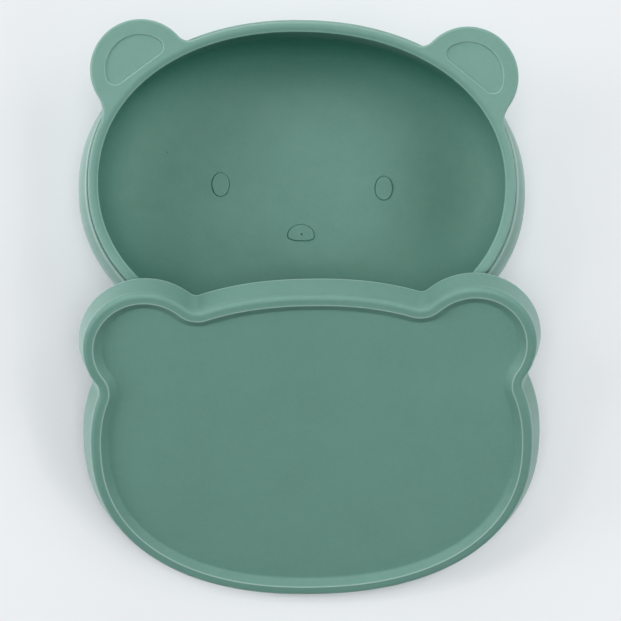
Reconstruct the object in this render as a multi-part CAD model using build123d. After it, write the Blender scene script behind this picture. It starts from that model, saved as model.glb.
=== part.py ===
from build123d import *
import math
import os

os.makedirs("parts", exist_ok=True)

# A toddler's bear-faced suction bowl and its lid. Millimetres, table at z = 0,
# ears towards +Y. Outline sizes are (half-length X, half-width Y, squareness),
# the squareness being the exponent of a superellipse: 2 is a plain ellipse.

# Bowl
RIM_Z = 47.5                    # top of the rim
RIM = (77.0, 58.4, 2.12)        # outer edge of the rim
RIM_LIP_H = 4.0                 # height of the rim lip, and thickness of the ears
RIM_ROUND = 1.1                 # outer edges of the rim and ears
RIM_CREST_W = 1.3               # outer edge to where the top starts to slope in
RIM_W = 3.85                    # outer edge to the mouth
MOUTH_DROP = 0.7                # the mouth's edge lies below the crest
MOUTH_ROUND = 0.5
RIM_GROOVE_H = 0.7              # gap under the lip that the finger or lid finds
RIM_GROOVE_DEPTH = 0.7
SHOULDER_OUT = 1.1              # the wall starts this far outside the rim
BELLY_Z = 30.0
BELLY = (82.0, 60.4, 2.13)      # widest outside section
BELLY_Y = -1.5                  # the belly bulges a little more at the chin
WALL = 4.0                      # wall thickness at the belly
UNDERSIDE_Z = 6.0               # flat patch that the suction base is bonded to
UNDERSIDE = (46.0, 33.0, 2.12)
FLOOR_Z = 9.5
FLOOR = (44.0, 31.0, 2.10)      # flat part of the floor inside

# Ears
EAR = (59.0, 39.8)              # middle of the right ear
EAR_R = 18.2
EAR_TOP_CORNER_R = 5.0          # inside corner between ear and forehead
EAR_SIDE_CORNER_R = 10.0        # inside corner between ear and cheek
EAR_PANEL_R = 12.8              # half-round sunk panel on each ear
EAR_PANEL_CORNER_R = 3.2
EAR_PANEL_DEPTH = 0.6
EAR_PANEL_TURN = 37.7           # slope of the panel's straight side, degrees

# Face raised from the floor
FACE_H = 0.6
EYE_X, EYE_Y = 30.8, 1.6
EYE_RX, EYE_RY = 3.4, 4.6
NOSE_Y = -16.9                  # widest part of the nose
NOSE_W = 10.1
NOSE_UP, NOSE_DOWN = 4.3, 2.2   # the nose above and below its widest part
NOSE_UP_SQUARE, NOSE_DOWN_SQUARE = 2.0, 2.7
GATE_Y = -16.5                  # small pit left by the moulding gate, on the nose
GATE_R, GATE_DEPTH = 0.4, 0.4

# Lid, sized in its own frame: z = 0 on top of the raised edge
LID = (80.75, 61.3, 2.24)       # outer edge of the raised edge
LID_EAR = (58.75, 40.55)
LID_EAR_R = 22.6
LID_FOOT = (84.1, 64.0, 2.24)   # lower edge of the flared skirt
LID_FOOT_EAR_R = 24.7
LID_INNER_EAR_R = 19.4          # inside, over the bowl's ear
LID_H = 10.0                    # raised edge down to the end of the skirt
LID_CORNER_R = 4.5
LID_PANEL_DEPTH = 2.3           # sunk top panel
LID_PANEL_T = 2.1
LID_EDGE_W = 3.85               # outer edge to the start of the inner slope
LID_SLOPE_W = 2.6
LID_EDGE_ROUND = 1.9
LID_CREASE_ROUND = 0.3
LID_SKIRT_T = 2.2               # skirt wall at its lower edge
LID_SKIRT_ROUND = 0.7
LID_FIT = 0.4                   # play between rim lip and lid

# The lid leans with its chin on the table and its forehead over the rim
LEAN_TILT = 24.1
LEAN_YAW = 2.3
LEAN_AT = (5.8, -96.6, 34.97)

# Suction base
BASE_PLATE = (41.0, 28.5, 2.15)  # top plate, bonded to the bowl
BASE_PLATE_T = 1.6
BASE_LIP = (50.0, 36.5, 2.15)    # outer edge of the sealing lip
BASE_LIP_W = 3.0                 # flat sealing land on the table
BASE_LIP_T = 0.9
TAB_W, TAB_REACH, TAB_T = 16.0, 11.5, 1.8
TAB_NOSE_R = 6.5
TAB_AXIS_Y, TAB_AXIS_Z = -39.5, 1.3
TAB_ROOT_R = 1.1                 # round root the tab swings on
TAB_PLAY = 0.1
TAB_BLOCK = 4.0                  # block that carries the tab, front to back
TAB_RIBS, TAB_RIB_STEP, TAB_RIB_R = 3, 2.2, 0.35
TAB_RIB_W = 9.0
TAB_EDGE_R = 0.4

OUTLINE_POINTS = 28


def superellipse(turn, a, b, n):
    """Point of a superellipse at a turn angle."""
    c, s = math.cos(turn), math.sin(turn)
    reach = (abs(c) ** n + abs(s) ** n) ** (-1 / n)
    return a * c * reach, b * s * reach


def turns(count):
    return [2 * math.pi * step / count for step in range(count)]


def outline(size, z=0.0, y=0.0):
    """Closed superellipse at height z, its centre moved by y."""
    points = [superellipse(turn, *size) for turn in turns(OUTLINE_POINTS)]
    return Wire([Spline(*[(px, py + y, z) for px, py in points], periodic=True)])


def grown(size, grow):
    return size[0] + grow, size[1] + grow, size[2]


def between(low, high, share):
    """Outline size part of the way from low to high."""
    return tuple(p + (q - p) * share for p, q in zip(low, high))


def tub(base, base_z, belly, belly_z, top, top_z):
    """Solid whose wall sweeps up in a quarter round from base to belly, then closes in to top."""
    sections = []
    for degrees in (0, 18, 36, 54, 72, 90):
        out = math.sin(math.radians(degrees))
        up = 1 - math.cos(math.radians(degrees))
        z = base_z + (belly_z - base_z) * up
        sections.append(outline(between(base, belly, out), z, BELLY_Y * out))
    for share in (0.5, 1.0):
        closed = share ** 2
        z = belly_z + (top_z - belly_z) * share
        sections.append(outline(between(belly, top, closed), z, BELLY_Y * (1 - closed)))
    return Solid.make_loft(sections)


def slab(low, z_low, high, z_high):
    """Superellipse slab whose side may lean in or out."""
    return Solid.make_loft([outline(low, z_low), outline(high, z_high)], ruled=True)


def head(ear_at, low, ear_low, z_low, high, ear_high, z_high, top_corner_r, side_corner_r):
    """Bear-head slab: face and two round ears with soft inside corners."""
    ear_x, ear_y = ear_at
    shape = slab(low, z_low, high, z_high)
    height = z_high - z_low
    ear = Cylinder(ear_low, height) if ear_low == ear_high else Cone(ear_low, ear_high, height)
    for side in (-1, 1):
        shape += Pos(side * ear_x, ear_y, (z_low + z_high) / 2) * ear
    upright = [e for e in shape.edges() if e.bounding_box().size.Z > 0.9 * height]
    # the surfaces' own seams run up at Y = 0 and Y = ear_y and stay sharp
    corners = [e for e in upright if abs(e.center().Y) > 1 and abs(e.center().Y - ear_y) > 1]
    shape = fillet([e for e in corners if abs(e.center().X) < ear_x], top_corner_r)
    upright = [e for e in shape.edges() if e.bounding_box().size.Z > 0.9 * height]
    corners = [e for e in upright if ear_x < abs(e.center().X) and 1 < e.center().Y < ear_y - 1]
    return fillet(corners, side_corner_r)


def round_rims(shape, top_r, bottom_r):
    """Rounds the outer edge of a slab's top face, then of its bottom face."""
    shape = fillet(shape.faces().sort_by(Axis.Z)[-1].outer_wire().edges(), top_r)
    return fillet(shape.faces().sort_by(Axis.Z)[0].outer_wire().edges(), bottom_r)


def ear_panel():
    """Half-round panel outline for the right ear, straight side towards the face."""
    disc = Circle(EAR_PANEL_R)
    half = disc & Pos(0, EAR_PANEL_R) * Rectangle(2 * EAR_PANEL_R, 2 * EAR_PANEL_R)
    half = fillet(half.vertices(), EAR_PANEL_CORNER_R)
    return Pos(*EAR) * Rot(0, 0, -EAR_PANEL_TURN) * half


def nose():
    """Nose outline: arched top, flatter bottom with round corners."""
    points = []
    for turn in turns(OUTLINE_POINTS):
        upper = math.sin(turn) > 0
        height = NOSE_UP if upper else NOSE_DOWN
        square = NOSE_UP_SQUARE if upper else NOSE_DOWN_SQUARE
        x, y = superellipse(turn, NOSE_W / 2, height, square)
        points.append((x, NOSE_Y + y))
    return make_face(Spline(*points, periodic=True))


def bowl():
    lip_low = RIM_Z - RIM_LIP_H
    shoulder_z = lip_low - RIM_GROOVE_H
    shoulder = grown(RIM, SHOULDER_OUT)
    neck_size = grown(RIM, -RIM_GROOVE_DEPTH)
    body = tub(UNDERSIDE, UNDERSIDE_Z, BELLY, BELLY_Z, shoulder, shoulder_z)
    neck = slab(neck_size, shoulder_z - 1, neck_size, RIM_Z - 1)
    lip = head(EAR, RIM, EAR_R, lip_low, RIM, EAR_R, RIM_Z, EAR_TOP_CORNER_R, EAR_SIDE_CORNER_R)
    lip = round_rims(lip, RIM_ROUND, RIM_ROUND / 2)

    mouth = grown(RIM, -RIM_W)
    mouth_z = RIM_Z - MOUTH_DROP
    inner_belly = (BELLY[0] - WALL, BELLY[1] - WALL, BELLY[2])
    cavity = tub(FLOOR, FLOOR_Z, inner_belly, BELLY_Z, mouth, mouth_z)
    cavity += slab(mouth, mouth_z, grown(RIM, -RIM_CREST_W), RIM_Z)
    shape = body + neck + lip - cavity
    edge = [e for e in shape.edges() if abs(e.center().Z - mouth_z) < 0.01 and e.length > 4 * mouth[0]]
    shape = fillet(edge, MOUTH_ROUND)

    panel = ear_panel()
    for sketch in (panel, mirror(panel, about=Plane.YZ)):
        shape -= Pos(0, 0, RIM_Z - EAR_PANEL_DEPTH) * extrude(sketch, 2 * EAR_PANEL_DEPTH)

    eye = extrude(Ellipse(EYE_RX, EYE_RY), 2 * FACE_H)
    for side in (-1, 1):
        shape += Pos(side * EYE_X, EYE_Y, FLOOR_Z - FACE_H) * eye
    shape += Pos(0, 0, FLOOR_Z - FACE_H) * extrude(nose(), 2 * FACE_H)
    return shape - Pos(0, GATE_Y, FLOOR_Z + FACE_H) * Cylinder(GATE_R, 2 * GATE_DEPTH)


def lid():
    """Lid in its own frame, then set down in its leaning place."""
    outside = head(LID_EAR, LID_FOOT, LID_FOOT_EAR_R, -LID_H, LID, LID_EAR_R, 0,
                   LID_CORNER_R, LID_CORNER_R)
    outside = round_rims(outside, LID_EDGE_ROUND, LID_SKIRT_ROUND)

    crease, foot = -LID_EDGE_W, -LID_EDGE_W - LID_SLOPE_W
    corner_r = LID_CORNER_R + LID_EDGE_W
    sunk = head(LID_EAR, grown(LID, foot), LID_EAR_R + foot, -LID_PANEL_DEPTH,
                grown(LID, crease), LID_EAR_R + crease, 0, corner_r, corner_r)
    shape = outside - sunk
    shape = fillet(shape.faces().sort_by(Axis.Z)[-1].inner_wires()[0].edges(), LID_CREASE_ROUND)

    under = -LID_PANEL_DEPTH - LID_PANEL_T
    hollow = head(LID_EAR, grown(LID_FOOT, -LID_SKIRT_T), LID_FOOT_EAR_R - LID_SKIRT_T, -LID_H,
                  grown(RIM, LID_FIT), LID_INNER_EAR_R, under, LID_CORNER_R, LID_CORNER_R)
    shape -= hollow
    return Pos(*LEAN_AT) * Rot(0, 0, LEAN_YAW) * Rot(LEAN_TILT, 0, 0) * shape


def tab_axis():
    return Pos(0, TAB_AXIS_Y, TAB_AXIS_Z)


def suction_base():
    """Shallow oval cup: bonded plate on top, thin skirt down to a flat sealing lip."""
    plate_low = UNDERSIDE_Z - BASE_PLATE_T
    outside = slab(BASE_LIP, 0, BASE_LIP, BASE_LIP_T)
    outside += slab(BASE_LIP, BASE_LIP_T, BASE_PLATE, plate_low)
    outside += slab(BASE_PLATE, plate_low, BASE_PLATE, UNDERSIDE_Z)
    hollow = slab(grown(BASE_LIP, -BASE_LIP_W), 0, grown(BASE_PLATE, -BASE_LIP_W / 2), plate_low)
    block = Pos(0, TAB_AXIS_Y + TAB_BLOCK / 2, TAB_AXIS_Z) * Box(TAB_W, TAB_BLOCK, 2 * TAB_AXIS_Z)
    shape = outside + block - hollow
    return shape - tab_axis() * Rot(0, 90, 0) * Cylinder(TAB_ROOT_R + TAB_PLAY, 2 * TAB_W)


def release_tab():
    """Finger tab with a round root and grip ribs, pointing forward."""
    paddle = Pos(0, -TAB_REACH / 2) * Rectangle(TAB_W, TAB_REACH)
    paddle = fillet(paddle.vertices().group_by(Axis.Y)[0], TAB_NOSE_R)
    shape = Pos(0, 0, -TAB_T / 2) * extrude(paddle, TAB_T)
    shape = fillet(shape.edges().group_by(Axis.Z)[0] + shape.edges().group_by(Axis.Z)[-1], TAB_EDGE_R)
    shape += Rot(0, 90, 0) * Cylinder(TAB_ROOT_R, TAB_W)
    for row in range(1, TAB_RIBS + 1):
        place = Pos(0, -TAB_ROOT_R - TAB_RIB_STEP * row, TAB_T / 2)
        shape += place * Rot(0, 90, 0) * Cylinder(TAB_RIB_R, TAB_RIB_W)
    return tab_axis() * shape


for name, make in (("bowl", bowl), ("suction_base", suction_base),
                   ("release_tab", release_tab), ("lid", lid)):
    export_step(make(), f"parts/{name}.step")
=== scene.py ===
import math

import bmesh
import bpy
import numpy as np
from mathutils import Matrix, Vector
from mathutils.geometry import delaunay_2d_cdt


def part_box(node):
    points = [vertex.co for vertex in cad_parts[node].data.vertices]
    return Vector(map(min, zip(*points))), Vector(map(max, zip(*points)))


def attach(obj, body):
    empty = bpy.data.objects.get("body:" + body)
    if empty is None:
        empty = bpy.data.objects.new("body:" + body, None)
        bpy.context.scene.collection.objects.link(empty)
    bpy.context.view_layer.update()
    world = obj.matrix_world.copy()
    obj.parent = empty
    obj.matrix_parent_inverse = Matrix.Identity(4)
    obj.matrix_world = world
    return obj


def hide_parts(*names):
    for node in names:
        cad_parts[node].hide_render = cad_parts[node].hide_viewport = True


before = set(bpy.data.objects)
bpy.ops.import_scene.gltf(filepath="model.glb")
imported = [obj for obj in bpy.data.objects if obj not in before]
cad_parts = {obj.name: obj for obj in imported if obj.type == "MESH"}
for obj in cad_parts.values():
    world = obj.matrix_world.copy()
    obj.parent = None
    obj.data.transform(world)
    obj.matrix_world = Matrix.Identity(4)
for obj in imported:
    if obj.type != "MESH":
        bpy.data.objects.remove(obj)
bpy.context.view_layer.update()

MM = 0.001

# Sizes in millimetres, as in the CAD source. Outlines are (half-length X, half-width Y, squareness).
RIM_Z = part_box("bowl")[1].z / MM
RIM = (77.0, 58.4, 2.12)
RIM_W = 3.85                    # outer edge to the mouth
MOUTH_DROP = 0.7                # the mouth's edge lies this far below the crest
MOUTH_ROUND = 0.5
LIP_H = 4.0
LIP_ROUND = 1.1
LIP_UNDER_ROUND = 0.3
CREST_W = 1.3                   # outer edge to where the top starts to slope in
GROOVE_H = 0.7
GROOVE_DEPTH = 0.7
SHOULDER_OUT = 1.1
SHOULDER_ROUND = 0.25
SHOULDER_BEAD_H = 0.6           # the shoulder's edge stands up, so only a fine slot shows beside the lip
SHOULDER_BEAD_W = 1.0
SHOULDER_BEAD_ROUND = 0.1
BELLY_Z = 30.0
BELLY = (82.0, 60.4, 2.13)      # widest outside section
BELLY_Y = -1.5                  # the belly bulges a little more at the chin
WALL = 4.0
UNDERSIDE_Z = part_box("bowl")[0].z / MM
UNDERSIDE = (46.0, 33.0, 2.12)
FLOOR_Z = 9.5
FLOOR = (44.0, 31.0, 2.10)

EAR = np.array((59.0, 39.8))
EAR_R = 18.2
TOP_CORNER_R = 5.0
SIDE_CORNER_R = 10.0
EAR_PANEL_R = 12.8
EAR_PANEL_CORNER_R = 3.4
EAR_PANEL_DEPTH = 0.6
EAR_PANEL_TURN = math.radians(37.7)

FACE_H = 0.6
EYE = (30.8, 1.6)
EYE_R = np.array((3.25, 4.5))
NOSE = (0.0, -16.9)             # middle of the nose's widest line
NOSE_UP = (4.95, 4.05, 2.0)     # the nose above that line, and below it
NOSE_DOWN = (4.95, 2.05, 2.7)
GATE = (0.2, -16.5)             # pit left by the moulding gate
GATE_R = 0.38
GATE_DEPTH = 0.8
SEAM_W = 0.16                   # fine line pressed in round the eyes and nose
SEAM_DEPTH = 0.12
SEAM_LIP_W = 0.08
STEP_INSET = 0.06
STEP_ROUND = 0.25

LID = (80.75, 61.3, 2.24)
LID_EAR = np.array((58.75, 40.55))
LID_EAR_R = 22.6
LID_CORNER_R = 6.0
LID_FOOT = (84.1, 64.0, 2.24)   # lower edge of the skirt
LID_FOOT_EAR_R = 24.7
LID_FOOT_CORNER_R = 3.6
LID_FIT = 0.4                   # the lid's inner wall stands this far outside the rim
LID_INNER_EAR_R = 19.4
LID_INNER_CORNER_R = 5.0
LID_INNER_ROUND = 0.6
LID_H = 10.0
LID_PANEL_DEPTH = 2.3
LID_PANEL_T = 2.1
LID_SKIRT_T = 2.2
LID_SKIRT_ROUND = 0.7
LID_SKIRT_CHAMFER = 0.3         # inner lower edge of the skirt
LID_EDGE_ROUND = 1.9
LID_EDGE_W = 3.85               # outer edge to the start of the inner slope
LID_SLOPE = math.radians(42)
LID_SLOPE_FOOT_R = 1.5
LID_CREASE = ((0.3, -0.2, 0), (0.15, -0.06, 0.6), (0.0, 0.03, 1), (-0.1, 0.07, 1), (-0.25, 0.06, 0.4),
              (-0.45, 0.01, 0), (-0.6, 0.0, 0))    # (further in, height, painted highlight) along the crease's section
LEAN_TILT = math.radians(24.1)  # the lid leans with its chin on the table
LEAN_YAW = math.radians(2.3)
LEAN_AT = (5.8, -96.6, 34.97)

BASE_PLATE = (41.0, 28.5, 2.15)
BASE_PLATE_T = 1.6
BASE_PLATE_EDGE = 0.4           # the plate's upright edge ends this far above its underside
BASE_LIP = (50.0, 36.5, 2.15)
BASE_LIP_W = 3.0
BASE_LIP_T = 0.9
BASE_LIP_ROUND = 0.3
TAB_W, TAB_REACH, TAB_T = 16.0, 11.5, 1.8
TAB_NOSE_R = 6.5
TAB_BACK_R = 0.6
TAB_AXIS_Y, TAB_AXIS_Z = -39.5, 1.3
TAB_ROOT_R = 1.1
TAB_ROOT_EDGE_R = 0.3
TAB_PLAY = 0.1
TAB_HUG = 52                    # degrees above and below the axis that the block wraps the root
TAB_BLOCK = 4.0
TAB_BLOCK_CORNERS = (0.1, 0.3, 0.3, 0.1)    # front low, back low, back top, front top
TAB_BLOCK_EDGE_R = 0.08
TAB_RIBS, TAB_RIB_STEP, TAB_RIB_R = 3, 2.2, 0.35
TAB_RIB_W, TAB_RIB_HALF_W = 9.0, 0.5
TAB_EDGE_R = 0.4
ACROSS = Matrix(((0, 0, 1, 0), (1, 0, 0, 0), (0, 1, 0, 0), (0, 0, 0, 1)))   # draws in YZ, extrudes along X

FACE_STEPS = 200                # points along the lower face, chin to ear
CORNER_STEPS = 24
EAR_STEPS = 110
BROW_STEPS = 90
RING_STEPS = 720                # points round a plain oval ring
GUARD = 0.04                    # thin flat strip that keeps a flat face's shading flat


# ---------------------------------------------------------------- outlines

def between(low, high, share):
    return tuple(p + (q - p) * share for p, q in zip(low, high))


def face_point(size, turn):
    """Point of a superellipse at a turn angle, or an array of them."""
    a, b, n = size
    c, s = np.cos(turn), np.sin(turn)
    reach = (np.abs(c) ** n + np.abs(s) ** n) ** (-1 / n)
    return np.stack((a * c * reach, b * s * reach), -1)


def circle_turns(steps):
    return np.linspace(0, 2 * math.pi, steps, endpoint=False)


def spokes(turns):
    """Unit vectors at the turn angles."""
    return np.stack((np.cos(turns), np.sin(turns)), -1)


def oval(size, y=0.0):
    """Superellipse ring, its centre moved by y."""
    return face_point(size, circle_turns(RING_STEPS)) + (0, y)


def arc(centre, radius, start, end, steps):
    """Points from start to end, the end left out, the short way round."""
    sweep = (end - start + math.pi) % (2 * math.pi) - math.pi
    turns = start + sweep * np.arange(steps) / steps
    return centre + radius * spokes(turns)


def ear_corner(size, ear_at, ear_r, corner_r, free, blocked):
    """Circle that rounds the corner between the right ear and the face.
    Returns its centre, its angle seen from the ear, and the face's turn angle where it touches."""
    turns = np.linspace(-math.pi / 2, math.pi / 2, 6000)
    face = face_point(size, turns)
    for _ in range(40):
        middle = (free + blocked) / 2
        centre = ear_at + (ear_r + corner_r) * spokes(middle)
        gaps = np.hypot(*(face - centre).T)
        outside = abs(centre[0] / size[0]) ** size[2] + abs(centre[1] / size[1]) ** size[2] > 1
        if outside and gaps.min() > corner_r:
            free = middle
        else:
            blocked = middle
    return centre, middle, turns[gaps.argmin()]


def head(size, ear_at, ear_r, top_r, side_r):
    """Closed bear-head outline, anticlockwise from the chin, always with the same number of points."""
    side, side_turn, face_low = ear_corner(size, ear_at, ear_r, side_r, 0.0, -math.radians(120))
    top, top_turn, face_high = ear_corner(size, ear_at, ear_r, top_r, math.radians(90), math.radians(215))

    def angle(centre, point):
        return math.atan2(*(point - centre)[::-1])

    low_turns = -math.pi / 2 + (face_low + math.pi / 2) * np.arange(FACE_STEPS) / FACE_STEPS
    high_turns = face_high + (math.pi / 2 - face_high) * np.arange(BROW_STEPS + 1) / BROW_STEPS
    ear_turns = side_turn + (top_turn - side_turn) * np.arange(EAR_STEPS) / EAR_STEPS
    right = np.vstack((
        face_point(size, low_turns),
        arc(side, side_r, angle(side, face_point(size, face_low)), side_turn + math.pi, CORNER_STEPS),
        ear_at + ear_r * spokes(ear_turns),
        arc(top, top_r, top_turn + math.pi, angle(top, face_point(size, face_high)), CORNER_STEPS),
        face_point(size, high_turns)))
    left = right[1:-1][::-1] * (-1, 1)
    return np.vstack((right, left))


def blended(one, other, share):
    return one + (other - one) * share


def pushed(loop, out):
    """The loop moved outward along its normals."""
    along = np.roll(loop, -1, 0) - np.roll(loop, 1, 0)
    along /= np.linalg.norm(along, axis=1, keepdims=True)
    return loop + out * np.stack((along[:, 1], -along[:, 0]), -1)


def even(loop, steps):
    """The loop with its points spread evenly along it."""
    closed = np.vstack((loop, loop[:1]))
    run = np.concatenate(([0], np.cumsum(np.hypot(*np.diff(closed, axis=0).T))))
    at = np.linspace(0, run[-1], steps, endpoint=False)
    return np.stack([np.interp(at, run, closed[:, axis]) for axis in (0, 1)], -1)


def rounded(corners, radii):
    """Closed outline through the corners, each rounded by its own radius."""
    corners = np.asarray(corners, float)
    loop = []
    for corner, before, after, radius in zip(corners, np.roll(corners, 1, 0), np.roll(corners, -1, 0), radii):
        back = (before - corner) / np.linalg.norm(before - corner)
        on = (after - corner) / np.linalg.norm(after - corner)
        half = math.acos(np.clip(back @ on, -1, 1)) / 2
        centre = corner + (back + on) / np.linalg.norm(back + on) * radius / math.sin(half)
        ends = [math.atan2(*(corner + way * radius / math.tan(half) - centre)[::-1]) for way in (back, on)]
        loop.append(arc(centre, radius, *ends, 16))
    return np.vstack(loop)


def encloses(loop, point):
    """True when the point is inside the loop."""
    after = np.roll(loop, -1, 0)
    spans = (loop[:, 1] > point[1]) != (after[:, 1] > point[1])
    rise = np.where(spans, after[:, 1] - loop[:, 1], 1)
    x = loop[:, 0] + (point[1] - loop[:, 1]) / rise * (after[:, 0] - loop[:, 0])
    return np.count_nonzero(spans & (x > point[0])) % 2 == 1


def ear_panel():
    """Half-round outline on the right ear, straight side towards the face."""
    r, c = EAR_PANEL_R, EAR_PANEL_CORNER_R
    reach = math.sqrt((r - c) ** 2 - c ** 2)
    lean = math.atan2(c, reach)
    right, left = np.array((reach, c)), np.array((-reach, c))
    loop = np.vstack((
        arc(right, c, -math.pi / 2, lean, 16),
        arc(np.zeros(2), r, lean, math.pi / 2, 40),
        arc(np.zeros(2), r, math.pi / 2, math.pi - lean, 40),
        arc(left, c, math.pi - lean, 1.5 * math.pi, 16)))
    turn = -EAR_PANEL_TURN
    spin = np.array(((math.cos(turn), -math.sin(turn)), (math.sin(turn), math.cos(turn))))
    return even(loop @ spin.T + EAR, 160)


def eye(side):
    return EYE_R * spokes(circle_turns(120)) + (side * EYE[0], EYE[1])


def nose():
    """Arched top, flatter bottom with round corners."""
    turns = circle_turns(160)
    upper = (np.sin(turns) > 0)[:, None]
    return even(np.where(upper, face_point(NOSE_UP, turns), face_point(NOSE_DOWN, turns)) + NOSE, 160)


# ---------------------------------------------------------------- mesh building

class Skin:
    """A surface put together from rings of points, joined by strips and closed by flat fills."""

    def __init__(self, place=Matrix.Identity(4)):
        self.place = place      # puts the next rings in the object's frame
        self.flat = []          # each point in its ring's own plane
        self.points = []
        self.painted_highlight = []          # how much painted highlight each point's edge carries, 0 to 1
        self.faces = []

    def ring(self, loop, z, painted_highlight=0.0):
        first = len(self.points)
        self.painted_highlight += [painted_highlight] * len(loop)
        self.flat += [(x, y) for x, y in loop]
        self.points += [self.place @ Vector((x, y, z)) for x, y in loop]
        return list(range(first, first + len(loop)))

    def strip(self, one, other):
        count = len(one)
        for i in range(count):
            j = (i + 1) % count
            self.faces.append((one[i], one[j], other[j], other[i]))

    def sweep(self, sections, start=None):
        """Joins (loop, z) or (loop, z, painted highlight) sections in turn and returns the first and last
        ring.
        """
        rings = [] if start is None else [start]
        rings += [self.ring(*section) for section in sections]
        for one, other in zip(rings, rings[1:]):
            self.strip(one, other)
        return rings[0], rings[-1]

    def fill(self, outer, holes=()):
        """Fills the flat space inside outer and outside the holes."""
        loops = [outer, *holes]
        ids = [i for loop in loops for i in loop]
        flat = [Vector(self.flat[i]) for i in ids]
        edges, first = [], 0
        for loop in loops:
            edges += [(first + i, first + (i + 1) % len(loop)) for i in range(len(loop))]
            first += len(loop)
        made = delaunay_2d_cdt(flat, edges, [], 1, 1e-7)
        source = [ids[origin[0]] for origin in made[3]]
        edges_of_holes = [np.array([self.flat[i] for i in hole]) for hole in holes]
        for face in made[2]:
            middle = np.mean([made[0][i] for i in face], axis=0)
            if not any(encloses(hole, middle) for hole in edges_of_holes):
                self.faces.append(tuple(source[i] for i in face))

    def build(self, name):
        mesh = bpy.data.meshes.new(name)
        mesh.from_pydata([point * MM for point in self.points], [], self.faces)
        work = bmesh.new()
        work.from_mesh(mesh)
        bmesh.ops.recalc_face_normals(work, faces=work.faces)
        work.to_mesh(mesh)
        work.free()
        mesh.shade_smooth()
        mesh.attributes.new("painted_highlight", "FLOAT", "POINT").data.foreach_set("value", self.painted_highlight)
        piece = bpy.data.objects.new(name, mesh)
        bpy.context.scene.collection.objects.link(piece)
        return piece


def quarter(steps):
    """Angles of a quarter turn."""
    return [math.pi / 2 * k / steps for k in range(steps + 1)]


def top_edge(loop, radius, top, steps, highlight=0.0):
    """Sections that round an edge from a flat top to the upright side, with its painted highlight strongest
    halfway.
    """
    sections = []
    for turn in quarter(steps):
        edge = pushed(loop, radius * (math.sin(turn) - 1))
        sections.append((edge, top - radius * (1 - math.cos(turn)), highlight * math.sin(2 * turn)))
    return sections


def low_edge(loop, radius, low, steps):
    """Sections that round an edge from the upright side to a flat underside."""
    sections = []
    for turn in quarter(steps):
        sections.append((pushed(loop, radius * (math.cos(turn) - 1)), low + radius * (1 - math.sin(turn))))
    return sections


def step(loop, base_z, rise, seam=0.0):
    """Sections from a flat surface up to a raised patch, across a fine line pressed in by seam."""
    lip_out = SEAM_W + SEAM_LIP_W
    sections = [(pushed(loop, lip_out + GUARD), base_z), (pushed(loop, lip_out), base_z)]
    for share in (0.35, 0.75, 1.0):
        sections.append((pushed(loop, lip_out - SEAM_LIP_W * share), base_z - (0.02 + seam) * share ** 2))
    sections.append((pushed(loop, 0.5 * SEAM_W), base_z - 1.15 * seam + 0.04 * rise))
    sections.append((pushed(loop, 0.02), base_z - seam + 0.1 * rise))
    sections.append((pushed(loop, -0.5 * STEP_INSET), base_z + rise * 0.6))
    for turn in quarter(4):
        inset = STEP_INSET + STEP_ROUND * (1 - math.cos(turn))
        sections.append((pushed(loop, -inset), base_z + rise * (0.72 + 0.28 * math.sin(turn))))
    sections.append((pushed(loop, -STEP_INSET - STEP_ROUND - GUARD), base_z + rise))
    return sections


def relief(skin, loop, base_z, rise, seam=0.0, holes=()):
    """Raises a flat patch; returns the ring where it leaves the surface."""
    outer, inner = skin.sweep(step(loop, base_z, rise, seam))
    skin.fill(inner, holes)
    return outer


def sink(skin, loop, z, depth):
    """Sunk flat patch with a sloping wall; returns the ring where it leaves the surface."""
    # (further out, share of the depth, painted highlight)
    rounded_edge = ((0.15 + GUARD, 0, 0), (0.15, 0, 0), (0.05, 0.04, PANEL_HIGHLIGHT), (-0.05, 0.15, PANEL_HIGHLIGHT))
    slope_and_foot = ((-0.4, 0.85, 0), (-0.48, 0.95, 0), (-0.55, 1, 0), (-0.55 - GUARD, 1, 0))
    sections = []
    for out, share, painted_highlight in rounded_edge + slope_and_foot:
        sections.append((pushed(loop, out), z - depth * share, painted_highlight))
    outer, inner = skin.sweep(sections)
    skin.fill(inner)
    return outer


def pit(skin, loop, z, depth):
    """Small round pit; returns the ring where it leaves the surface."""
    outer, inner = skin.sweep([(pushed(loop, GUARD), z), (loop, z), (pushed(loop, -0.05), z - 0.5 * depth),
                               (pushed(loop, -0.12), z - depth), (pushed(loop, -0.16), z - depth)])
    skin.fill(inner)
    return outer


def tub(base, base_z, belly, belly_z, top, top_z):
    """Sections of a wall that sweeps up in a quarter round, then closes in towards the top."""
    sections = []
    for turn in quarter(26):
        out = math.sin(turn)
        z = base_z + (belly_z - base_z) * (1 - math.cos(turn))
        sections.append((oval(between(base, belly, out), BELLY_Y * out), z))
    for share in np.linspace(0, 1, 13)[1:]:
        closed = share ** 2
        z = belly_z + (top_z - belly_z) * share
        sections.append((oval(between(belly, top, closed), BELLY_Y * (1 - closed)), z))
    return sections


# ---------------------------------------------------------------- pieces

def grown(size, grow):
    """Outline size made larger all round."""
    return size[0] + grow, size[1] + grow, size[2]


def bowl_floor(skin):
    """Floor with the raised face; returns its outer ring."""
    outer = skin.ring(pushed(oval(FLOOR), -GUARD), FLOOR_Z)
    gate = pit(skin, GATE_R * spokes(circle_turns(32)) + GATE, FLOOR_Z + FACE_H, GATE_DEPTH)
    face = [relief(skin, eye(side), FLOOR_Z, FACE_H, SEAM_DEPTH) for side in (-1, 1)]
    face.append(relief(skin, nose(), FLOOR_Z, FACE_H, SEAM_DEPTH, [gate]))
    skin.fill(outer, face)
    return outer


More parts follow.
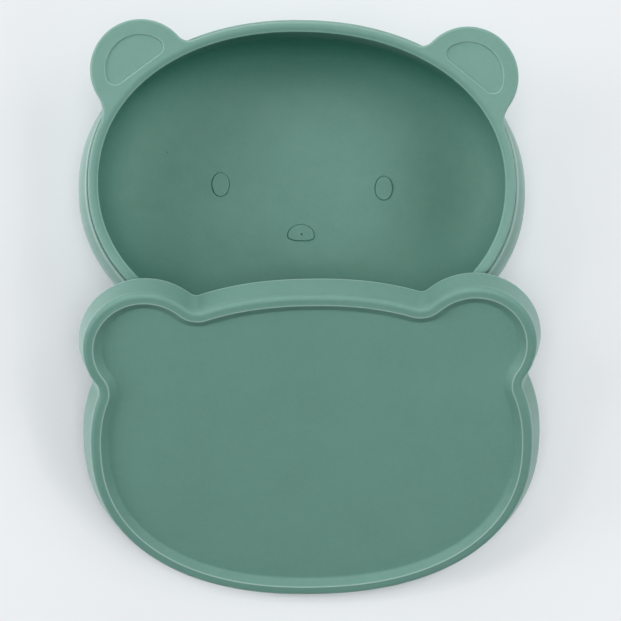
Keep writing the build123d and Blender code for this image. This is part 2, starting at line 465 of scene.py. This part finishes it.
def bowl_inside(skin, floor):
    """Inside wall, mouth edge and the slope up to the crest; returns the crest's ring."""
    rim = oval(RIM)
    mouth_z = RIM_Z - MOUTH_DROP
    wall = tub(FLOOR, FLOOR_Z, grown(BELLY, -WALL), BELLY_Z, grown(RIM, -RIM_W), mouth_z - MOUTH_ROUND)
    edge = wall[-1][0]
    for turn in quarter(5)[1:]:
        out = MOUTH_ROUND * (1 - math.cos(turn))
        z = mouth_z - MOUTH_ROUND * (1 - math.sin(turn))
        wall.append((pushed(edge, out), z, MOUTH_HIGHLIGHT * math.sin(turn)))
    slope_w = RIM_W - MOUTH_ROUND - CREST_W
    for share in (0.1, 0.3, 0.6, 0.8, 0.92, 1.0):
        rise = MOUTH_DROP * math.sin(math.pi / 2 * share ** 0.9)
        wall.append((pushed(rim, -CREST_W - slope_w * (1 - share)), mouth_z + rise))
    wall.append((pushed(rim, -CREST_W + GUARD), RIM_Z))
    return skin.sweep(wall, floor)[1]


def bowl_lip(skin, crest):
    """Flat top with the ears and their sunk panels, and the lip's edge; returns its lowest ring."""
    outline = head(RIM, EAR, EAR_R, TOP_CORNER_R, SIDE_CORNER_R)
    low = RIM_Z - LIP_H
    lip = [(pushed(outline, -LIP_ROUND - GUARD), RIM_Z)]
    lip += top_edge(outline, LIP_ROUND, RIM_Z, 8, LIP_HIGHLIGHT)
    lip += low_edge(outline, LIP_UNDER_ROUND, low, 5)
    lip.append((pushed(outline, -LIP_UNDER_ROUND - GUARD), low))
    lip_top, lip_low = skin.sweep(lip)
    right = ear_panel()
    left = (right * (-1, 1))[::-1]
    panels = [sink(skin, panel, RIM_Z, EAR_PANEL_DEPTH) for panel in (right, left)]
    skin.fill(lip_top, [crest, *panels])
    return lip_low


def bowl_outside(skin, lip_low):
    """Groove under the lip, shoulder with its bead, outside wall and underside."""
    low = RIM_Z - LIP_H
    shoulder_z = low - GROOVE_H
    bead_z = shoulder_z + SHOULDER_BEAD_H
    shoulder = grown(RIM, SHOULDER_OUT)
    ledge = oval(shoulder)
    neck = pushed(oval(RIM), -GROOVE_DEPTH)
    outside = [(pushed(neck, GUARD), low), (neck, low), (neck, shoulder_z)]
    outside.append((pushed(ledge, -SHOULDER_BEAD_W - SHOULDER_BEAD_ROUND), shoulder_z))
    outside.append((pushed(ledge, -SHOULDER_BEAD_W), bead_z - SHOULDER_BEAD_ROUND))
    outside.append((pushed(ledge, -SHOULDER_BEAD_W + SHOULDER_BEAD_ROUND), bead_z))
    outside += [(loop, z, SHOULDER_HIGHLIGHT) for loop, z, _ in top_edge(ledge, SHOULDER_ROUND, bead_z, 4)]
    wall = tub(UNDERSIDE, UNDERSIDE_Z, BELLY, BELLY_Z, shoulder, shoulder_z - SHOULDER_ROUND)
    outside += wall[::-1][1:]
    outside.append((pushed(oval(UNDERSIDE), -GUARD), UNDERSIDE_Z))
    neck_top, foot = skin.sweep(outside)
    skin.fill(lip_low, [neck_top])
    skin.fill(foot)


def make_bowl():
    skin = Skin()
    floor = bowl_floor(skin)
    crest = bowl_inside(skin, floor)
    lip_low = bowl_lip(skin, crest)
    bowl_outside(skin, lip_low)
    return skin.build("bowl_skin")


def lid_edge_profile():
    """(distance in from the outer edge, height, painted highlight) from the sunk panel up to the flat raised
    edge.
    """
    panel_z = -LID_PANEL_DEPTH
    slope_foot = LID_EDGE_W + LID_PANEL_DEPTH / math.tan(LID_SLOPE)
    foot_start = slope_foot + LID_SLOPE_FOOT_R * math.tan(LID_SLOPE / 2)
    profile = [(foot_start + GUARD, panel_z, 0)]
    for share in np.linspace(0, 1, 8):
        turn = LID_SLOPE * share
        profile.append((foot_start - LID_SLOPE_FOOT_R * math.sin(turn),
                        panel_z + LID_SLOPE_FOOT_R * (1 - math.cos(turn)), 0))
    for inset, z, painted_highlight in LID_CREASE:
        profile.append((LID_EDGE_W + inset, z, painted_highlight))
    profile.append((LID_EDGE_ROUND + GUARD, 0.0, 0))
    return profile


def lid_skirt(top, foot):
    """Sections down the skirt, round its lower edge, and up again inside to the lid's underside."""
    sections = []
    skirt_low = -LID_H + LID_SKIRT_ROUND
    for share in (*np.linspace(0, 0.94, 8), 1):
        z = -LID_EDGE_ROUND + (skirt_low + LID_EDGE_ROUND) * share
        sections.append((blended(top, foot, share), z, LID_FOOT_HIGHLIGHT * (share == 1)))
    for turn in quarter(5)[1:]:
        out = LID_SKIRT_ROUND * (math.cos(turn) - 1)
        sections.append((pushed(foot, out), skirt_low - LID_SKIRT_ROUND * math.sin(turn)))
    sections.append((pushed(foot, LID_SKIRT_CHAMFER - LID_SKIRT_T), -LID_H))

    inner_low = pushed(foot, -LID_SKIRT_T)
    inner_top = head(grown(RIM, LID_FIT), LID_EAR, LID_INNER_EAR_R, LID_INNER_CORNER_R, LID_INNER_CORNER_R)
    under = -LID_PANEL_DEPTH - LID_PANEL_T
    wall_low, wall_top = LID_SKIRT_CHAMFER - LID_H, under - LID_INNER_ROUND
    for share in np.linspace(0, 1, 6):
        sections.append((blended(inner_low, inner_top, share), wall_low + (wall_top - wall_low) * share))
    for turn in quarter(4)[1:]:
        out = LID_INNER_ROUND * (math.cos(turn) - 1)
        sections.append((pushed(inner_top, out), wall_top + LID_INNER_ROUND * math.sin(turn)))
    sections.append((pushed(inner_top, -LID_INNER_ROUND - GUARD), under))
    return sections


def make_lid():
    """Drawn flat with its raised edge at z = 0, and set down leaning."""
    lean = Matrix.Rotation(LEAN_YAW, 4, "Z") @ Matrix.Rotation(LEAN_TILT, 4, "X")
    skin = Skin(Matrix.Translation(LEAN_AT) @ lean)
    top = head(LID, LID_EAR, LID_EAR_R, LID_CORNER_R, LID_CORNER_R)
    foot = head(LID_FOOT, LID_EAR, LID_FOOT_EAR_R, LID_FOOT_CORNER_R, LID_FOOT_CORNER_R)
    sections = [(pushed(top, -inset), z, painted_highlight) for inset, z, painted_highlight in lid_edge_profile()]
    sections += top_edge(top, LID_EDGE_ROUND, 0, 9)[:-1]
    sections += lid_skirt(top, foot)
    panel, underside = skin.sweep(sections)
    skin.fill(panel)
    skin.fill(underside)
    return skin.build("lid_skin")


def cup(skin):
    """Plate bonded to the bowl, thin skirt down to the flat sealing lip, and the hollow under it."""
    plate_low = UNDERSIDE_Z - BASE_PLATE_T
    plate, lip = oval(BASE_PLATE), oval(BASE_LIP)
    sections = [(pushed(plate, -GUARD), UNDERSIDE_Z), (plate, UNDERSIDE_Z)]
    sections.append((plate, plate_low + BASE_PLATE_EDGE))
    for share in np.linspace(0.03, 0.97, 12):
        sections.append((blended(plate, lip, share), plate_low + (BASE_LIP_T - plate_low) * share))
    sections += top_edge(lip, BASE_LIP_ROUND, BASE_LIP_T, 6)
    sections += low_edge(lip, BASE_LIP_ROUND, 0, 6)

    hollow_low = pushed(lip, -BASE_LIP_W)
    hollow_top = pushed(plate, -BASE_LIP_W / 2)
    for turn in quarter(4):
        out = BASE_LIP_ROUND * (1 - math.sin(turn))
        sections.append((pushed(hollow_low, out), BASE_LIP_ROUND * (1 - math.cos(turn))))
    for share in np.linspace(0.1, 1, 8):
        z = BASE_LIP_ROUND + (plate_low - 2 * BASE_LIP_ROUND) * share
        sections.append((blended(hollow_low, hollow_top, share), z))
    for turn in quarter(4)[1:]:
        out = BASE_LIP_ROUND * (math.cos(turn) - 1)
        sections.append((pushed(hollow_top, out), plate_low - BASE_LIP_ROUND * (1 - math.sin(turn))))
    sections.append((pushed(hollow_top, -BASE_LIP_ROUND - GUARD), plate_low))
    top, ceiling = skin.sweep(sections)
    skin.fill(top)
    skin.fill(ceiling)


def tab_block(skin):
    """Block in front of the cup, hollowed round the tab's root."""
    skin.place = ACROSS
    axis = np.array((TAB_AXIS_Y, TAB_AXIS_Z))
    hug = np.radians(np.linspace(-TAB_HUG, TAB_HUG, 25))
    channel = axis + (TAB_ROOT_R + TAB_PLAY) * spokes(hug)
    front, back = channel[0][0], TAB_AXIS_Y + TAB_BLOCK
    top_z = 2 * TAB_AXIS_Z
    box = rounded([(front, 0), (back, 0), (back, top_z), (front, top_z)], TAB_BLOCK_CORNERS)
    bar(skin, even(np.vstack((box, channel[::-1])), 300), TAB_W, TAB_BLOCK_EDGE_R)


def make_suction_base():
    skin = Skin()
    cup(skin)
    tab_block(skin)
    return skin.build("suction_base_skin")


def make_release_tab():
    """Finger tab: paddle with a round nose and grip ribs, and the round root it swings on."""
    skin = Skin(Matrix.Translation((0, TAB_AXIS_Y, TAB_AXIS_Z)))
    half_w, half_t = TAB_W / 2, TAB_T / 2
    corners = [(-half_w, -TAB_REACH), (half_w, -TAB_REACH), (half_w, 0), (-half_w, 0)]
    paddle = even(rounded(corners, (TAB_NOSE_R, TAB_NOSE_R, TAB_BACK_R, TAB_BACK_R)), 240)
    sections = [(pushed(paddle, -TAB_EDGE_R - GUARD), half_t)]
    sections += top_edge(paddle, TAB_EDGE_R, half_t, 6)
    sections += low_edge(paddle, TAB_EDGE_R, -half_t, 6)
    sections.append((pushed(paddle, -TAB_EDGE_R - GUARD), -half_t))
    top, low = skin.sweep(sections)
    ribs = [relief(skin, rib(-TAB_ROOT_R - TAB_RIB_STEP * row), half_t, TAB_RIB_R)
            for row in range(1, TAB_RIBS + 1)]
    skin.fill(top, ribs)
    skin.fill(low)

    skin.place = Matrix.Translation((0, TAB_AXIS_Y, TAB_AXIS_Z)) @ ACROSS
    bar(skin, TAB_ROOT_R * spokes(circle_turns(48)), TAB_W, TAB_ROOT_EDGE_R)
    return skin.build("release_tab_skin")


def rib(y):
    """Long narrow outline with round ends, across the tab."""
    reach = TAB_RIB_W / 2 - TAB_RIB_HALF_W
    loop = TAB_RIB_HALF_W * spokes(circle_turns(80)) + (0, y)
    loop[:, 0] += np.where(loop[:, 0] > 0, reach, -reach)
    return even(loop, 160)


def bar(skin, section, length, edge_r):
    """Solid bar with the given section and rounded ends, centred on z = 0."""
    end = top_edge(section, edge_r, length / 2, 4)
    one, other = skin.sweep(end + [(loop, -z) for loop, z, _ in end[::-1]])
    skin.fill(one)
    skin.fill(other)


# ---------------------------------------------------------------- materials

SAGE = (0.207, 0.330, 0.291)
MOTTLING = 0.025                # lighter and darker by this share in soft clouds
GRAIN = 0.05                    # lighter by up to this share in fine grain
GRAZING_REFLECTION = 0.45                    # share of pale colour painted on outer sides seen edge on: a painted reflection of the pale table
# pale colour of the painted reflection on the sides and of the painted highlights on edges
PAINTED_LIGHT_COLOUR = (0.52, 0.62, 0.60)
ROUGHNESS = (0.54, 0.68)
SPECULAR = 0.5
SHEEN = 0.1
SHEEN_ROUGHNESS = 0.4
SUBSURFACE = 0.12
SUBSURFACE_REACH = (0.0022, 0.0030, 0.0027)     # metres, for red, green and blue

# painted highlights on the edges, 0 to 1: pale lines where rounded edges catch the light
MOUTH_HIGHLIGHT = 0.2
LIP_HIGHLIGHT = 0.35
SHOULDER_HIGHLIGHT = 0.8
PANEL_HIGHLIGHT = 0.7
LID_FOOT_HIGHLIGHT = 0.8
FULL_HIGHLIGHT = 0.5                 # share of the pale painted-light colour at a painted highlight of 1

SPECK_CELLS = 70                # cells per metre
SPECK_R = 0.022                 # share of a cell
SPECK_COLOUR = (0.13, 0.19, 0.17)


class Nodes:
    """Makes the shader nodes of one material, with patterns that stay fixed to the object."""

    def __init__(self, tree, seed):
        self.tree = tree
        self.coords = tree.nodes.new("ShaderNodeTexCoord")
        place = tree.nodes.new("ShaderNodeMapping")
        place.inputs["Location"].default_value = (seed, 0.37 * seed, 0)
        self.link(self.coords.outputs["Object"], place.inputs["Vector"])
        self.place = place.outputs["Vector"]

    def link(self, value, socket):
        self.tree.links.new(value, socket)

    def noise(self, scale, detail):
        node = self.tree.nodes.new("ShaderNodeTexNoise")
        node.inputs["Scale"].default_value = scale
        node.inputs["Detail"].default_value = detail
        self.link(self.place, node.inputs["Vector"])
        return node.outputs["Fac"]

    def mapped(self, value, low, high, from_low=0.3, from_high=0.7):
        node = self.tree.nodes.new("ShaderNodeMapRange")
        self.link(value, node.inputs["Value"])
        node.inputs["From Min"].default_value = from_low
        node.inputs["From Max"].default_value = from_high
        node.inputs["To Min"].default_value = low
        node.inputs["To Max"].default_value = high
        return node.outputs["Result"]

    def mixed(self, factor, one, other):
        """Colour from one to other; each is a fixed colour or a node's output."""
        node = self.tree.nodes.new("ShaderNodeMix")
        node.data_type = "RGBA"
        self.link(factor, node.inputs["Factor"])
        for socket, value in (("A", one), ("B", other)):
            if isinstance(value, tuple):
                node.inputs[socket].default_value = (*value, 1)
            else:
                self.link(value, node.inputs[socket])
        return node.outputs["Result"]

    def product(self, one, other):
        node = self.tree.nodes.new("ShaderNodeMath")
        node.operation = "MULTIPLY"
        self.link(one, node.inputs[0])
        self.link(other, node.inputs[1])
        return node.outputs["Value"]

    def bump(self, height, strength, distance):
        node = self.tree.nodes.new("ShaderNodeBump")
        node.inputs["Strength"].default_value = strength
        node.inputs["Distance"].default_value = distance
        self.link(height, node.inputs["Height"])
        return node


def mottled(nodes, colour):
    """The colour in soft clouds, with fine grain over them."""
    def scaled(share):
        return tuple(c * share for c in colour)

    clouds = nodes.mixed(nodes.mapped(nodes.noise(38, 3), 0, 1), scaled(1 - MOTTLING), scaled(1 + MOTTLING))
    return nodes.mixed(nodes.mapped(nodes.noise(900, 3), 0, 0.5), clouds, scaled(1 + GRAIN))


def painted_reflection(nodes):
    """Share of painted reflection on the outer sides: a pale colour painted where they turn away from the
    view.
    """
    turned = nodes.tree.nodes.new("ShaderNodeLayerWeight")
    turned.inputs["Blend"].default_value = 0.5
    from_middle = nodes.tree.nodes.new("ShaderNodeVectorMath")
    from_middle.operation = "MULTIPLY_ADD"
    from_middle.inputs[1].default_value = (1, 1, 0)
    from_middle.inputs[2].default_value = (-0.5, -0.5, 0)
    nodes.link(nodes.coords.outputs["Generated"], from_middle.inputs[0])
    outward = nodes.tree.nodes.new("ShaderNodeVectorMath")
    outward.operation = "DOT_PRODUCT"
    nodes.link(from_middle.outputs["Vector"], outward.inputs[0])
    nodes.link(nodes.coords.outputs["Normal"], outward.inputs[1])
    side = nodes.mapped(outward.outputs["Value"], 0, 1, 0.02, 0.22)
    away = nodes.mapped(turned.outputs["Facing"], 0, GRAZING_REFLECTION, 0.35, 0.9)
    return nodes.product(side, away)


def painted_edge_highlights(nodes):
    """Share of painted highlight on the edges that the mesh marks: pale lines where the edges catch the
    light.
    """
    edges = nodes.tree.nodes.new("ShaderNodeAttribute")
    edges.attribute_name = "painted_highlight"
    return nodes.mapped(edges.outputs["Fac"], 0, FULL_HIGHLIGHT, 0, 1)


def specks(nodes):
    """Small dark discs in the middles of a few random cells."""
    cells = nodes.tree.nodes.new("ShaderNodeTexVoronoi")
    cells.inputs["Scale"].default_value = SPECK_CELLS
    nodes.link(nodes.place, cells.inputs["Vector"])
    small = nodes.mapped(cells.outputs["Distance"], 1, 0, 0.5 * SPECK_R, SPECK_R)
    picked = nodes.mapped(cells.outputs["Color"], 0, 1, 0.66, 0.67)
    return nodes.product(small, picked)


def uneven(nodes):
    """Surface direction, with fine grain on top of soft sags."""
    sag = nodes.bump(nodes.noise(55, 2), 0.12, 0.00025)
    grain = nodes.bump(nodes.noise(3000, 3), 0.25, 0.00004)
    nodes.link(sag.outputs["Normal"], grain.inputs["Normal"])
    return grain.outputs["Normal"]


def silicone(name, colour, seed):
    """Matt moulded silicone: soft mottling, fine grain, painted highlights on edges, painted reflection on
    sides seen edge on, specks, a little light bleeding.
    """
    material = bpy.data.materials.new(name)
    material.use_nodes = True
    nodes = Nodes(material.node_tree, seed)
    base = mottled(nodes, colour)
    # painted reflection: outer sides made paler where they are seen edge on
    base = nodes.mixed(painted_reflection(nodes), base, PAINTED_LIGHT_COLOUR)
    # painted highlights: pale lines along the edges that catch the light
    base = nodes.mixed(painted_edge_highlights(nodes), base, PAINTED_LIGHT_COLOUR)
    base = nodes.mixed(specks(nodes), base, SPECK_COLOUR)

    shader = material.node_tree.nodes["Principled BSDF"]
    nodes.link(base, shader.inputs["Base Color"])
    nodes.link(nodes.mapped(nodes.noise(260, 4), *ROUGHNESS), shader.inputs["Roughness"])
    nodes.link(uneven(nodes), shader.inputs["Normal"])
    shader.inputs["Specular IOR Level"].default_value = SPECULAR
    shader.inputs["Sheen Weight"].default_value = SHEEN
    shader.inputs["Sheen Roughness"].default_value = SHEEN_ROUGHNESS
    shader.inputs["Subsurface Weight"].default_value = SUBSURFACE
    shader.inputs["Subsurface Radius"].default_value = SUBSURFACE_REACH
    shader.inputs["Subsurface Scale"].default_value = 1.0
    return material


def plain(name, colour, roughness):
    material = bpy.data.materials.new(name)
    material.use_nodes = True
    shader = material.node_tree.nodes["Principled BSDF"]
    shader.inputs["Base Color"].default_value = (*colour, 1)
    shader.inputs["Roughness"].default_value = roughness
    return material


def dress(piece, material):
    piece.data.materials.clear()
    piece.data.materials.append(material)


# ---------------------------------------------------------------- the pieces on their bodies

bowl = make_bowl()
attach(bowl, "bowl_body")
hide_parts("bowl")
dress(bowl, silicone("bowl_silicone", SAGE, 1.0))

lid = make_lid()
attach(lid, "lid_body")
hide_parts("lid")
dress(lid, silicone("lid_silicone", SAGE, 7.0))

base_material = silicone("base_silicone", SAGE, 13.0)
base = make_suction_base()
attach(base, "bowl_body")
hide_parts("suction_base")
dress(base, base_material)

tab = make_release_tab()
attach(tab, "tab")
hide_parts("release_tab")
dress(tab, base_material)


# ---------------------------------------------------------------- studio

FLOOR_COLOUR = (0.80, 0.82, 0.84)
WORLD_STRENGTH = 0.14
LIT_POINT = Vector((0, -0.03, 0))
LAMP_DISTANCE = 1.6
LAMP_SIZE = 0.7
LAMPS = (                       # name, turn from the +X side and height above the floor in degrees, watts
    ("far", 90, 22, 5.9),
    ("left", 180, 22, 8.1),
    ("right_far", 22, 46, 4.8),
    ("right_near", -22, 46, 4.7),
    ("left_far", 158, 46, 4.2),
    ("above", 0, 90, 5.6))
CAMERA_AT = (0.0042, -0.0555, 0.800)
CAMERA_TILT = math.radians(0.75)
CAMERA_ROLL = math.radians(1.31)
CAMERA_LENS = 121.5             # millimetres, on a sensor 36 wide


def make_floor():
    bpy.ops.mesh.primitive_plane_add(size=6)
    floor = bpy.context.object
    floor.name = "floor"
    dress(floor, plain("table", FLOOR_COLOUR, 0.6))


def soft_light(name, turn, height, power):
    """Square lamp on a sphere round the object."""
    data = bpy.data.lights.new(name, "AREA")
    data.size = LAMP_SIZE
    data.energy = power
    turn, height = math.radians(turn), math.radians(height)
    out = Vector((math.cos(height) * math.cos(turn), math.cos(height) * math.sin(turn), math.sin(height)))
    lamp = bpy.data.objects.new(name, data)
    lamp.location = LIT_POINT + LAMP_DISTANCE * out
    lamp.rotation_euler = out.to_track_quat("Z", "Y").to_euler()
    bpy.context.scene.collection.objects.link(lamp)


def make_world():
    world = bpy.data.worlds.new("studio")
    world.use_nodes = True
    background = world.node_tree.nodes["Background"]
    background.inputs["Color"].default_value = (1, 1, 1, 1)
    background.inputs["Strength"].default_value = WORLD_STRENGTH
    bpy.context.scene.world = world


def make_camera():
    data = bpy.data.cameras.new("camera")
    data.sensor_width = 36
    data.lens = CAMERA_LENS
    data.clip_start, data.clip_end = 0.01, 50
    camera = bpy.data.objects.new("camera", data)
    turn = Matrix.Rotation(CAMERA_TILT, 4, "X") @ Matrix.Rotation(CAMERA_ROLL, 4, "Z")
    camera.matrix_world = Matrix.Translation(CAMERA_AT) @ turn
    bpy.context.scene.collection.objects.link(camera)
    bpy.context.scene.camera = camera


make_floor()
for lamp in LAMPS:
    soft_light(*lamp)
make_world()
make_camera()
bpy.context.scene.view_settings.view_transform = "Khronos PBR Neutral"
bpy.context.scene.view_settings.look = "High Contrast"
